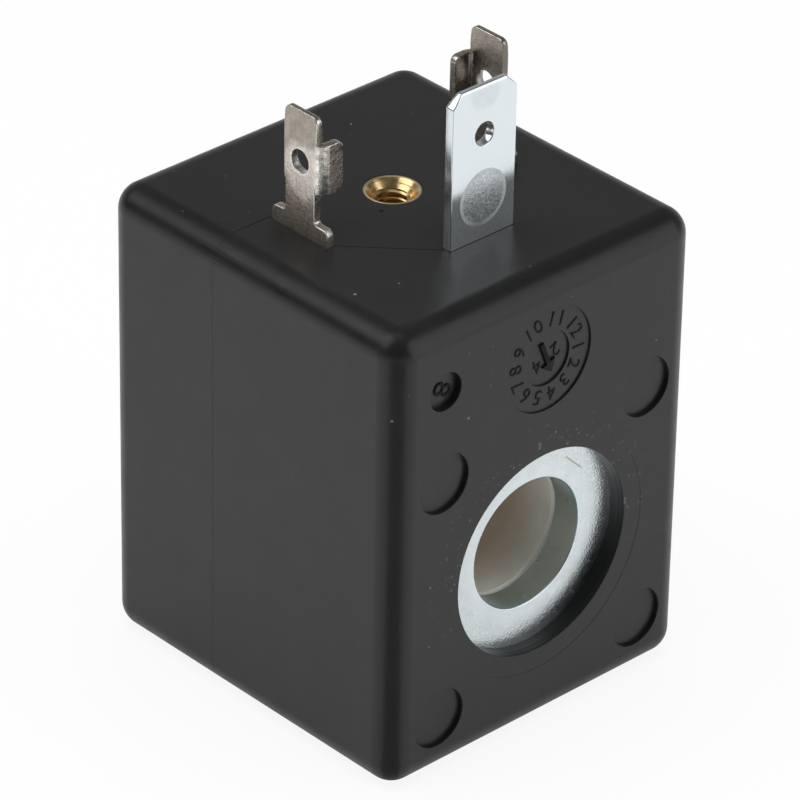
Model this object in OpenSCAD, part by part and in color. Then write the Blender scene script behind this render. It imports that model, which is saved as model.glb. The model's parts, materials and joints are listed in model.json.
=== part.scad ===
// Encapsulated coil for a solenoid valve, with blade terminals for a square plug.
// The armature bore runs along Y, the blades stand up along +Z, and the origin is the middle of the bore.

/* [Encapsulation] */
// Width of the moulded block, across the bore
body_w = 29.5; // [28:0.5:36]
// Depth of the moulded block, along the bore
body_d = 31; // [29:0.5:40]
// Height of the moulded block
body_h = 38; // [37:0.5:46]
// Height of the bore axis above the base
bore_h = 14.9; // [14:0.1:16]
// Radius on every outer edge of the block
edge_r = 2.1; // [1:0.1:3]

/* [Bore] */
// Diameter of the armature bore
bore_d = 10.4; // [8:0.1:11]
// Lead-in chamfer at both mouths of the bobbin tube
bore_chamfer = 0.3; // [0.1:0.05:0.5]
// Diameter of the recess round the bore in each end face
recess_d = 16.6; // [14:0.2:18]
// Depth of that recess, down to the yoke
recess_t = 1.6; // [1:0.1:2.5]

/* [Yoke] */
// Thickness of the steel strip
yoke_t = 2.5; // [1.5:0.1:3]
// Width of the steel strip
yoke_w = 22; // [20:0.5:23]
// Inside radius of the two bends
yoke_bend_r = 1; // [0.5:0.1:1.5]

/* [Bobbin and winding] */
// Wall of the bobbin tube
tube_wall = 1; // [0.6:0.1:1.6]
// Thickness of each bobbin flange
flange_t = 1.2; // [0.8:0.1:2]
// How far a flange stands past the tape
flange_lip = 0.6; // [0.3:0.1:0.9]
// How far the copper winding stays inside the width of the yoke
winding_inset = 0.3; // [0.1:0.1:1.5]
// Thickness of the tape round the winding
tape_t = 0.2; // [0.1:0.05:0.4]
// Winding left bare at each side of the tape
tape_margin = 1; // [0.8:0.1:2]
// Play between the bobbin and the yoke
bobbin_fit = 0.05; // [0.02:0.01:0.1]

/* [Terminal carrier] */
// Length of the carrier along the bore
carrier_d = 8; // [7:0.2:9]
// Height of the carrier above the yoke
carrier_t = 4.5; // [4:0.1:5.5]
// Floor left under the line terminals
carrier_floor = 1.2; // [0.8:0.1:1.8]
// Thickness of the skirts that straddle the yoke
skirt_t = 1; // [0.8:0.1:1.5]
// How far the skirts reach down beside the yoke
skirt_drop = 1.5; // [0.5:0.1:2.5]
// Play between the skirts and the yoke
skirt_fit = 0.05; // [0.02:0.01:0.1]

/* [Line terminals] */
// Distance between the two line blades
line_pitch = 18; // [17:0.1:19]
// Offset of the line blades behind the middle of the block
line_y = 0.65; // [0:0.05:1.4]
// Thickness of their sheet
line_t = 0.65; // [0.5:0.05:1]
// Height of a line blade above the block
line_h = 9.85; // [9:0.05:11]
// Width of the blade
line_w = 3.4; // [3.2:0.1:4.4]
// Width of the foot that rests on the block
foot_w = 5.9; // [5:0.1:7]
// Height of the foot
foot_h = 1.3; // [0.8:0.1:1.6]
// Width of the stem between foot and blade
stem_w = 3.1; // [2.4:0.05:3.6]
// Step from the stem to the plain edge of the blade
stem_step = 0.15; // [0:0.05:0.4]
// Height at which the stem widens into the blade
stem_h = 3.7; // [2.8:0.1:4]
// Top of the folded edge above the block
fold_h = 7.7; // [7:0.1:8.4]
// Reach of the folded edge, from the blade's outer face
fold_reach = 2.15; // [1.5:0.05:2.4]
// Inside radius of the fold
fold_r = 0.3; // [0.2:0.05:0.6]
// How far the folded edge stands past the blade's edge
fold_step = 0.5; // [0.2:0.1:0.8]
// Radius on the outer corners of the sheet
corner_r = 0.55; // [0.2:0.05:0.65]
// Radius in the corners between stem and foot
fillet_r = 0.3; // [0.1:0.05:0.5]
// Height of the taper at the blade's tip
taper_h = 1.3; // [0.8:0.1:1.4]
// Thickness left at the tip
taper_t = 0.45; // [0.3:0.05:0.6]
// Diameter of the hole in each blade
blade_hole_d = 1.8; // [1.4:0.05:2.2]
// Height of the hole in a line blade
line_hole_h = 5.85; // [5:0.05:6.4]
// Width of the root inside the block
root_w = 4.6; // [3.6:0.1:5.4]
// Width of the tag that takes the winding's lead
tag_w = 1.2; // [0.8:0.1:1.6]
// Length of the tag outside the carrier
tag_reach = 2.4; // [1.8:0.1:3]

/* [Earth terminal] */
// Distance from the plug screw to the middle of the earth blade
earth_gap = 9; // [8:0.1:10]
// Width of the earth blade
earth_w = 6.2; // [5:0.1:6.4]
// Thickness of its sheet
earth_t = 0.8; // [0.6:0.05:1]
// Height of the earth blade above the block
earth_h = 12.3; // [11:0.1:13]
// Height of the hole in the earth blade
earth_hole_h = 8.45; // [7:0.05:9.5]
// Chamfer on the corners of the tip
tip_chamfer = 0.95; // [0.5:0.05:1.4]
// Height of the bevel on both faces of the tip
tip_bevel_h = 0.7; // [0.4:0.1:1.2]
// Thickness left at the end of the bevel
tip_t = 0.4; // [0.3:0.05:0.55]
// Inside radius of the bend onto the yoke
earth_bend_r = 0.5; // [0.3:0.1:1]
// Space between the foot's end and the carrier
earth_clear = 0.4; // [0.2:0.1:0.8]

/* [Threaded insert] */
// Offset of the plug screw behind the middle of the block
plug_y = 1; // [0.6:0.1:1.4]
// Length of the insert
insert_h = 7; // [5.5:0.5:7.5]
// Width across the flats of its hexagon
insert_af = 5; // [4.6:0.1:5.4]
// Diameter of its round neck at the top of the block
neck_d = 4.3; // [4.2:0.05:4.6]
// Height of the neck
neck_h = 1.2; // [0.8:0.1:1.8]
// Height of the groove that anchors it
groove_h = 1.4; // [0.8:0.1:1.6]
// Diameter at the bottom of the groove
groove_d = 4; // [3.6:0.1:4.4]
// Diameter of the threaded hole at the crests
thread_d = 2.5; // [2:0.05:2.6]
// Floor that closes the insert
insert_floor = 1.2; // [0.8:0.1:1.5]
// Diameter of the countersunk mouth
mouth_d = 4; // [3.4:0.05:4.15]
// Depth of the countersunk mouth
mouth_t = 0.8; // [0.4:0.1:1]

/* [Lead wires] */
// Diameter of the lead wires
lead_d = 0.5; // [0.3:0.05:0.6]
// Space round a lead wire where it passes another piece
lead_fit = 0.1; // [0.05:0.05:0.2]
// Height above the bore axis at which a lead turns towards its tag
lead_rise = 8; // [6:0.5:10]
// Diameter of a solder joint
solder_d = 1.9; // [1.7:0.1:2.2]

/* [Moulding marks] */
// Distance between the ejector marks, both ways
mark_pitch = 20; // [18:0.5:21]
// Diameter of an ejector mark
mark_d = 4.8; // [3:0.1:5.5]
// Depth of an ejector mark
mark_t = 0.35; // [0.1:0.05:0.6]
// Diameter of the date dial
dial_d = 8.4; // [6:0.1:8.6]
// Depth of the date dial
dial_t = 0.15; // [0.1:0.05:0.4]
// Distance from the top of the block to the middle of the dial
dial_drop = 6.8; // [6.5:0.1:8]
// Diameter of the dial's inner disc
disc_d = 4.4; // [3:0.1:5]
// Diameter of the cavity mark
cavity_d = 3; // [2:0.1:4]
// Depth of the cavity mark
cavity_t = 0.5; // [0.2:0.05:0.8]
// Distance from the top of the block to the middle of the cavity mark
cavity_drop = 5.55; // [4.5:0.05:7]

/* [Hidden] */
$fn = 96;
black_plastic = "#2c2c2e";
natural_plastic = "#b8a68a";
copper = "#a5552b";
amber_tape = "#c08a3a";
zinc = "#c9ced2";
tinned_brass = "#a39a8b";
brass = "#c2a04e";
tin = "#8f9296";

front = -body_d / 2;
top = body_h - bore_h;
overcut = 1;
// Yoke, from the outside in
yoke_span = body_d - 2 * recess_t;
yoke_window = yoke_span - 2 * yoke_t;
winding_d = yoke_w - 2 * winding_inset;
tape_r = winding_d / 2 + tape_t;
flange_flat = tape_r + flange_lip / 2;
limb_base = flange_flat + bobbin_fit;
limb_top = limb_base + yoke_t;
// Bobbin between the yoke's two plates
bobbin_l = yoke_window - 2 * bobbin_fit;
tube_r = bore_d / 2 + tube_wall;
flange_r = tape_r + flange_lip;
winding_l = bobbin_l - 2 * flange_t;
tape_l = winding_l - 2 * tape_margin;
// Carrier, and the terminals that stand in it
carrier_w = yoke_w + 2 * (skirt_fit + skirt_t);
root_base = limb_top + carrier_floor;
root_l = top - root_base;
tag_z = root_base + tag_w;
tag_end = carrier_d / 2 + tag_reach;
fold_ro = fold_r + line_t;
fold_edge = line_w / 2 + fold_step;
earth_y = plug_y - earth_gap;
earth_bend_ro = earth_bend_r + earth_t;
earth_foot_end = line_y - carrier_d / 2 - earth_clear;
// Lead wires: from the winding, up beside the carrier's skirt and over to a terminal's tag
groove_w = lead_d + 2 * lead_fit;
lead_x = carrier_w / 2 + lead_fit + lead_d / 2;
lead_angle = 15;
lead_over = tag_z + tag_w / 2;
tag_mid = carrier_d / 2 + tag_reach / 2;
start_y = winding_l / 2 + groove_w / 2;
finish_y = winding_l / 2 - tape_margin / 2;
finish_r = winding_d / 2 + lead_d / 2;
wire_sides = 8;

// Rod along the bore, from y0 to y1
module rod(d, y0, y1) {
    translate([0, y0, 0]) rotate([-90, 0, 0]) cylinder(d = d, h = y1 - y0);
}

// Outline in Y and Z, pushed out to a width along X, about the middle
module across(w) {
    translate([-w / 2, 0, 0]) rotate([90, 0, 90]) linear_extrude(w) children();
}

// Outline in X and Z, pushed out to a length along Y, about the middle
module along(l) {
    translate([0, l / 2, 0]) rotate([90, 0, 0]) linear_extrude(l) children();
}

// Flat rectangle from a corner, with rounded corners
module soft_square(size, r) {
    translate([r, 0]) square([size.x - 2 * r, size.y]);
    translate([0, r]) square([size.x, size.y - 2 * r]);
    for (x = [r, size.x - r], y = [r, size.y - r]) translate([x, y]) circle(r);
}

// Repeats a corner piece at the four corners of a rectangle, turned outwards at each
module at_corners(w, d) {
    for (q = [0:3]) {
        right = q == 0 || q == 3 ? 1 : -1;
        rear = q < 2 ? 1 : -1;
        translate([right * w / 2, rear * d / 2, 0]) rotate(90 * q) children();
    }
}

// Four quarter rods that round the upright edges of a block
module soft_edges(flat, r) {
    translate([0, 0, -flat.z / 2]) at_corners(flat.x, flat.y) rotate_extrude(angle = 90) square([r, flat.z]);
}

// Block about the origin with every edge and corner rounded
module soft_block(size, r) {
    flat = [size.x - 2 * r, size.y - 2 * r, size.z - 2 * r];
    turn = [90, 0, 90];
    cube([size.x, flat.y, flat.z], center = true);
    cube([flat.x, size.y, flat.z], center = true);
    cube([flat.x, flat.y, size.z], center = true);
    soft_edges(flat, r);
    rotate(turn) soft_edges([flat.y, flat.z, flat.x], r);
    rotate(turn) rotate(turn) soft_edges([flat.z, flat.x, flat.y], r);
    for (s = [0, 1]) mirror([0, 0, s]) translate([0, 0, flat.z / 2]) at_corners(flat.x, flat.y)
        rotate_extrude(angle = 90) intersection() {
            circle(r);
            square(r);
        }
}

// Outline of an arch with round top corners, standing on the level foot
module arch(span, foot, crown, r) {
    translate([-span / 2, foot]) square([span, crown - r - foot]);
    translate([r - span / 2, foot]) square([span - 2 * r, crown - foot]);
    for (s = [-1, 1]) translate([s * (span / 2 - r), crown - r]) circle(r);
}

function unit(v) = v / norm(v);
function heading(p, i) = unit(p[min(i + 1, len(p) - 1)] - p[max(i - 1, 0)]);
// Cuts the corners of a route into smooth bends
function eased(p, n) = n == 0 ? p : eased([p[0], for (i = [0:len(p) - 2])
    each [p[i] * 0.75 + p[i + 1] * 0.25, p[i] * 0.25 + p[i + 1] * 0.75], p[len(p) - 1]], n - 1);
function wire_ring(c, t, d) = let (s = unit(cross(t, [0, 1, 0])), u = cross(t, s))
    [for (k = [0:wire_sides - 1]) let (a = 360 * k / wire_sides) c + d / 2 * (s * cos(a) + u * sin(a))];

// Round wire along a route
module wire(route, d) {
    p = eased(route, 2);
    n = wire_sides;
    last = len(p) - 1;
    polyhedron(
        points = [for (i = [0:last]) each wire_ring(p[i], heading(p, i), d)],
        faces = [
            [for (k = [0:n - 1]) k],
            for (i = [0:last - 1], k = [0:n - 1])
                [i * n + k, (i + 1) * n + k, (i + 1) * n + (k + 1) % n, i * n + (k + 1) % n],
            [for (k = [n - 1:-1:0]) last * n + k]
        ]);
}

// Places a piece of the line side, or turns it half round to the neutral side
module plug_side(neutral) {
    translate([0, line_y, 0]) rotate(neutral ? 180 : 0) children();
}

// Solid strip bent into an arch, with round lower ends and no bore
module yoke_blank() {
    intersection() {
        across(yoke_w + 2 * overcut) difference() {
            arch(yoke_span, -yoke_w, limb_top, yoke_bend_r + yoke_t);
            arch(yoke_window, -yoke_w - overcut, limb_base, yoke_bend_r);
        }
        along(yoke_span + 2 * overcut) {
            circle(d = yoke_w);
            translate([-yoke_w / 2, 0]) square([yoke_w, limb_top + overcut]);
        }
    }
}

// Two discs that end at the winding, for the bobbin's flanges
module flange_discs(span) {
    for (s = [0, 1]) mirror([0, s, 0]) rod(2 * flange_r, winding_l / 2, span / 2);
}

// Room that the bobbin and its winding take up between the yoke's plates
module winding_room() {
    rod(winding_d, -winding_l / 2, winding_l / 2);
    rod(2 * tape_r, -tape_l / 2, tape_l / 2);
    flange_discs(yoke_window);
}

// Saddle on the yoke, slotted for the terminals and pocketed for the insert
module carrier_shape(fit) {
    foot = limb_top - skirt_drop;
    difference() {
        translate([0, line_y, 0]) along(carrier_d) difference() {
            translate([-carrier_w / 2, foot]) square([carrier_w, skirt_drop + carrier_t]);
            translate([-yoke_w / 2 - fit, foot - overcut]) square([yoke_w + 2 * fit, skirt_drop + overcut]);
        }
        for (neutral = [false, true]) plug_side(neutral) translate([-line_pitch / 2 - line_t / 2, 0, 0]) {
            translate([0, -root_w / 2, root_base]) cube([line_t, root_w, carrier_t]);
            translate([0, 0, tag_z]) cube([line_t, carrier_d / 2 + overcut, carrier_t]);
        }
        translate([0, plug_y, top - insert_h]) hexagon(carrier_t);
    }
}

// Hexagonal bar of the insert's width, standing on its end
module hexagon(h) {
    cylinder(d = insert_af / cos(30), h = h, $fn = 6);
}

// Insert without its threaded hole: hexagon with a groove, and a round neck
module insert_blank() {
    hex_h = (insert_h - neck_h - groove_h) / 2;
    translate([0, plug_y, top - insert_h]) {
        hexagon(hex_h);
        cylinder(d = groove_d, h = insert_h - neck_h);
        translate([0, 0, hex_h + groove_h]) hexagon(hex_h);
        cylinder(d = neck_d, h = insert_h);
    }
}

// Side profile of a blade whose tip tapers on both faces
module blade_profile(t, base, tip, bevel, tip_t) {
    polygon([[-t / 2, base], [t / 2, base], [t / 2, tip - bevel], [tip_t / 2, tip],
        [-tip_t / 2, tip], [-t / 2, tip - bevel]]);
}

// Flat outline of a line terminal in Y and Z, from the level of the block's top
module terminal_outline() {
    fold_line = fold_ro - fold_edge;
    stem_end = line_w / 2 - stem_step;
    translate([-root_w / 2, -root_l]) square([root_w, root_l]);
    translate([0, tag_z - top]) square([tag_end, tag_w]);
    translate([-foot_w / 2, -corner_r]) soft_square([foot_w, foot_h + corner_r], corner_r);
    translate([stem_end - stem_w, 0]) square([stem_w, stem_h + corner_r]);
    difference() {
        translate([stem_end - stem_w - fillet_r, 0]) square([stem_w + 2 * fillet_r, foot_h + fillet_r]);
        for (y = [stem_end - stem_w - fillet_r, stem_end + fillet_r])
            translate([y, foot_h + fillet_r]) circle(fillet_r);
    }
    difference() {
        translate([-line_w / 2, stem_h]) soft_square([line_w, line_h - stem_h], corner_r);
        translate([-line_w, stem_h - overcut]) square([line_w + fold_line, fold_h - stem_h + overcut]);
        translate([0, line_hole_h]) circle(d = blade_hole_d);
    }
}

// Edge of a line blade, folded inwards round a bend
module folded_edge() {
    outer = -line_t / 2;
    height = fold_h - stem_h;
    intersection() {
        translate([outer + fold_ro, fold_ro - fold_edge, stem_h]) {
            rotate(180) rotate_extrude(angle = 90) translate([fold_r, 0]) square([line_t, height]);
            translate([0, -fold_ro, 0]) cube([fold_reach, line_t, height]);
        }
        along(2 * fold_edge + 2 * overcut) translate([outer - fold_reach, stem_h])
            soft_square([2 * fold_reach, height], corner_r);
    }
}

module blade_terminal(neutral) {
    color(tinned_brass) plug_side(neutral) translate([-line_pitch / 2, 0, top]) {
        intersection() {
            across(line_t) terminal_outline();
            along(2 * tag_end) blade_profile(line_t, -root_l, line_h, taper_h, taper_t);
        }
        folded_edge();
    }
}

module line_terminal() {
    blade_terminal(false);
}

module neutral_terminal() {
    blade_terminal(true);
}

// Side profile of the earth terminal: blade, bend and foot
module earth_profile() {
    bend = [earth_bend_ro - earth_t / 2, limb_top + earth_bend_ro];
    blade_profile(earth_t, bend.y, top + earth_h, tip_bevel_h, tip_t);
    translate(bend) intersection() {
        difference() {
            circle(earth_bend_ro);
            circle(earth_bend_r);
        }
        translate([-earth_bend_ro, -earth_bend_ro]) square(earth_bend_ro);
    }
    translate([bend.x, limb_top]) square([earth_foot_end - earth_y - bend.x, earth_t]);
}

module earth_terminal() {
    tip = top + earth_h;
    side = earth_w / 2;
    color(zinc) translate([0, earth_y, 0]) difference() {
        intersection() {
            across(earth_w + 2 * overcut) earth_profile();
            along(2 * earth_gap) polygon([[-side, 0], [side, 0], [side, tip - tip_chamfer],
                [side - tip_chamfer, tip], [tip_chamfer - side, tip], [-side, tip - tip_chamfer]]);
        }
        translate([0, 0, top + earth_hole_h]) rod(blade_hole_d, -overcut, overcut);
    }
}

module threaded_insert() {
    color(brass) difference() {
        insert_blank();
        translate([0, plug_y, top - insert_h + insert_floor]) cylinder(d = thread_d, h = insert_h);
        translate([0, plug_y, top - mouth_t]) cylinder(d1 = thread_d, d2 = mouth_d, h = mouth_t);
    }
}

module yoke() {
    color(zinc) difference() {
        yoke_blank();
        rod(bore_d, -body_d, body_d);
    }
}

module bobbin() {
    color(natural_plastic) difference() {
        union() {
            rod(2 * tube_r, -bobbin_l / 2, bobbin_l / 2);
            intersection() {
                flange_discs(bobbin_l);
                across(2 * flange_r + 2 * overcut)
                    arch(bobbin_l, -flange_r - overcut, flange_flat, yoke_bend_r);
            }
        }
        rod(bore_d, -body_d, body_d);
        for (s = [0, 1]) mirror([0, s, 0]) translate([0, bobbin_l / 2 - bore_chamfer, 0]) rotate([-90, 0, 0])
            cylinder(d1 = bore_d, d2 = bore_d + 2 * bore_chamfer, h = bore_chamfer);
        rotate([0, 180 + lead_angle, 0]) translate([tube_r, winding_l / 2, -groove_w / 2])
            cube([flange_r, groove_w, groove_w]);
    }
}

module winding() {
    color(copper) difference() {
        rod(winding_d, -winding_l / 2, winding_l / 2);
        rod(2 * tube_r, -body_d, body_d);
    }
}

module winding_tape() {
    color(amber_tape) difference() {
        rod(2 * tape_r, -tape_l / 2, tape_l / 2);
        rod(winding_d, -body_d, body_d);
    }
}

module terminal_carrier() {
    color(natural_plastic) carrier_shape(skirt_fit);
}

// End of a lead's route: up beside the skirt, then over to the tag
function lead_end(y) = [[-lead_x, y, lead_rise], [-lead_x, tag_mid, lead_over],
    [-(line_pitch + line_t) / 2, tag_mid, lead_over]];

// Inner end of the winding, out along the groove in the rear flange
module start_lead() {
    y = start_y - line_y;
    out = [-cos(lead_angle), 0, sin(lead_angle)];
    level = [0, y, 0];
    color(copper) plug_side(false) wire([out * (tube_r + groove_w) + level, out * flange_r + level,
        out * (flange_r + 2 * lead_d) + level, each lead_end(y)], lead_d);
}

// Outer end of the winding, leaving its surface beside the tape
module finish_lead() {
    y = finish_y + line_y;
    base = [-finish_r * cos(lead_angle), y, -finish_r * sin(lead_angle)];
    climb = (lead_x + base.x) / tan(lead_angle);
    color(copper) plug_side(true) wire([base, [-lead_x, y, base.z + climb], each lead_end(y)], lead_d);
}

module solder_ball(neutral) {
    plug_side(neutral) translate([-line_pitch / 2, tag_mid, lead_over]) sphere(d = solder_d);
}

module solder_joints() {
    color(tin) {
        difference() {
            solder_ball(false);
            line_terminal();
            start_lead();
        }
        difference() {
            solder_ball(true);
            neutral_terminal();
            finish_lead();
        }
    }
}

// Shallow marks that the mould leaves in the front face
module mould_marks() {
    for (x = [-1, 1] / 2, z = [-1, 1] / 2) translate([x * mark_pitch, front, z * mark_pitch])
        rod(mark_d, -overcut, mark_t);
    translate([0, front, top - dial_drop]) {
        rod(dial_d, -overcut, dial_t);
        rod(disc_d, -overcut, 2 * dial_t);
    }
    translate([-mark_pitch / 2, front, top - cavity_drop]) rod(cavity_d, -overcut, cavity_t);
}

// Moulded block, filled in round everything that it holds
module encapsulation() {
    color(black_plastic) difference() {
        translate([0, 0, top - body_h / 2]) soft_block([body_w, body_d, body_h], edge_r);
        for (s = [0, 1]) mirror([0, s, 0]) rod(recess_d, front - overcut, front + recess_t);
        mould_marks();
        yoke_blank();
        winding_room();
        carrier_shape(0);
        insert_blank();
        line_terminal();
        neutral_terminal();
        earth_terminal();
        start_lead();
        finish_lead();
        for (neutral = [false, true]) solder_ball(neutral);
    }
}

encapsulation();
bobbin();
winding();
winding_tape();
yoke();
terminal_carrier();
line_terminal();
neutral_terminal();
earth_terminal();
threaded_insert();
start_lead();
finish_lead();
solder_joints();
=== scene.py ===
"""Finishes an encapsulated solenoid valve coil: soft edges, marks, thread, materials and a white stage"""

import json
import math
from contextlib import contextmanager

import bmesh
import bpy
from mathutils import Matrix, Vector

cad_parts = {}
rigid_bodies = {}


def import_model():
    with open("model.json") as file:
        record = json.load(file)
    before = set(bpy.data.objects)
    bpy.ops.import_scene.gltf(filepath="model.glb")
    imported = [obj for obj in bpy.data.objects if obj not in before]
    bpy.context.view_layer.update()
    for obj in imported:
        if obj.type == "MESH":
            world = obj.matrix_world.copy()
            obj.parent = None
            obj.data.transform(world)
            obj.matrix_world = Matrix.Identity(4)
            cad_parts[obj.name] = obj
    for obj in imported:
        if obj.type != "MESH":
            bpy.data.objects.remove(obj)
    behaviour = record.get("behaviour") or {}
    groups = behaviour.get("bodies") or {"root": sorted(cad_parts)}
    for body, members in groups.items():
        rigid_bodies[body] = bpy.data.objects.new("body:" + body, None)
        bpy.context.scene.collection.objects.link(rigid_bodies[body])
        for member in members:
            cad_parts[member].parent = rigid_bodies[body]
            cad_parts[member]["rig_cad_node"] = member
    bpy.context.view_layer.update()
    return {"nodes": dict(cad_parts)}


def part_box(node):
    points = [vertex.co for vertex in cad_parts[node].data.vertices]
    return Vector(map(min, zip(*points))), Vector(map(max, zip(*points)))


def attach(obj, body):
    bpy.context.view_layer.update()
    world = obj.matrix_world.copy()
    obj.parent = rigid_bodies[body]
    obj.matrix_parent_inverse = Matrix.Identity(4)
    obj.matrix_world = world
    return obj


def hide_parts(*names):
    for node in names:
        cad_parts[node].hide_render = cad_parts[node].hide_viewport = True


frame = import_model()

bl_info = {
    "name": "Solenoid Coil Finish",
    "version": (1, 0, 0),
    "blender": (4, 5, 0),
    "location": "3D View > Sidebar > Coil",
    "description": "Finishes the pieces of a solenoid valve coil and sets it on a white stage",
    "category": "Object",
}

MM = 0.001
BODY = "root"
# Two points closer than MERGE are one point. A point closer than TOUCH to a plane lies on it, and one closer
# than BORE_TOUCH to the wall of the bore lies on that
MERGE = 0.0005 * MM
TOUCH = 0.005 * MM
BORE_TOUCH = 0.02 * MM
# Faces that meet at less than FLAT_ANGLE are one face, and shading is smooth up to SMOOTH_ANGLE.
# More than EDGE_ANGLE makes an edge, and more than RIM_ANGLE a sharp rim
FLAT_ANGLE = math.radians(0.2)
EDGE_ANGLE = math.radians(25)
RIM_ANGLE = math.radians(60)
SMOOTH_ANGLE = math.radians(40)
# Where this many edges meet, a bevel would leave a spike
CROWDED = 5
# Steps of a rounded edge, sides of round cutters, and steps in a bend of a parting line, a turn of the thread
# and the yoke's dish
ROUND_STEPS = 3
ROUND_SIDES = 192
MOUTH_SIDES = 96
BEND_STEPS = 12
THREAD_STEPS = 48
DISH_STEPS = 128

BLOCK_LOW, BLOCK_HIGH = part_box("encapsulation")
FRONT = BLOCK_LOW.y
REAR = BLOCK_HIGH.y
LEFT = BLOCK_LOW.x
TOP = BLOCK_HIGH.z
BASE = BLOCK_LOW.z
LINE_LOW, LINE_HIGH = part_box("line_terminal")
NEUTRAL_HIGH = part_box("neutral_terminal")[1]
EARTH_LOW, EARTH_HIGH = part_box("earth_terminal")
INSERT_LOW, INSERT_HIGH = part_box("threaded_insert")
WINDING_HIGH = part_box("winding")[1]
YOKE_LOW, YOKE_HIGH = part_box("yoke")
INSERT_X = (INSERT_LOW.x + INSERT_HIGH.x) / 2
INSERT_Y = (INSERT_LOW.y + INSERT_HIGH.y) / 2
BLADE_TURN = Vector(((LINE_LOW.x + NEUTRAL_HIGH.x) / 2, (LINE_LOW.y + NEUTRAL_HIGH.y) / 2, 0))
BORE_AXIS = (0, 0, 0)
X_AXIS, Y_AXIS, Z_AXIS = range(3)

# Small pit before the insert, and the end of the slanting parting line by the line blade
PIT = Vector((-2.75 * MM, -0.83 * MM, TOP + 0.05 * MM))
PIT_RADIUS = 0.2 * MM
SLANT_START = Vector((-8.7 * MM, -2.25 * MM, TOP))
# Height of a figure as a share of its type size, its spacing, how far it sinks into the floor, and the room
# on the dial for a number with two figures
FIGURE_SHARE = 0.7
FIGURE_SPACING = 1.2
FIGURE_SINK = 0.01 * MM
PAIR_ROOM = 1.67
# Width of the pointer's head as a share of its shaft's, and the pointer's height as a share of the relief
HEAD_SPREAD = 3.2
POINTER_RISE = 3
# The thread runs out above the top of the insert, and its groove opens to each side by a share of the pitch
THREAD_TURNS = 10
THREAD_LIFT = 0.2 * MM
THREAD_FLANK = 0.42
# Gap between the yoke's dish and the recess wall, and how far the dish is sunk into the plate
DISH_GAP = 0.01 * MM
DISH_SINK = 0.1 * MM
# Olive scratch on the yoke's front face
SCRATCH_PLACE = (4.41 * MM, 0, 5.18 * MM)
SCRATCH_TURN = (0, math.radians(44.4), 0)

# Stage: level directions to the camera, to its side and away from it, then sizes in metres
TOWARD = Vector((-0.685, -0.729, 0))
ASIDE = Vector((0.729, -0.685, 0))
BEHIND = (0.68, 0.73, 0)
FLOOR_SIZE = 8
FLOOR_DROP = 0.01 * MM
WALL_RADIUS = 1.5
LEFT_BOX = (0.38, 0.38)
RIGHT_BOX = (0.38, 0.48)
FILL_BOX = (0.6, 0.6)
# Sheet of painted shade on the floor before the block, which only shiny surfaces see
SHADE_CARD_LENGTH = 0.2
SHADE_CARD_HALF_WIDTH = 0.12
SHADE_CARD_INSET = 2 * MM
# Width of the camera's sensor in millimetres
SENSOR_WIDTH = 36
# Share of the floor's white that shiny surfaces see
GLOSSY_SHARE = 0.4


def number_prop(name, description, default, **kind):
    """Property that holds one number"""
    return bpy.props.FloatProperty(name=name, description=description, default=default, **kind)


def size_prop(name, description, millimetres):
    """Property that holds a length, given here in millimetres"""
    return number_prop(name, description, millimetres * MM, unit="LENGTH")


def angle_prop(name, description, degrees):
    """Property that holds an angle, given here in degrees"""
    return number_prop(name, description, math.radians(degrees), subtype="ANGLE")


def power_prop(name, description, watts):
    """Property that holds the power of a lamp"""
    return number_prop(name, description, watts, subtype="POWER")


def share_prop(name, description, share):
    """Property that holds a share from 0 to 1"""
    return number_prop(name, description, share, subtype="FACTOR", min=0, max=1)


def place_prop(name, description, *metres):
    """Property that holds a place"""
    return bpy.props.FloatVectorProperty(
        name=name, description=description, default=metres, subtype="TRANSLATION")


def colour_prop(name, description, *channels):
    """Property that holds a colour"""
    return bpy.props.FloatVectorProperty(
        name=name, description=description, default=channels, subtype="COLOR", min=0, max=1)


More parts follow.
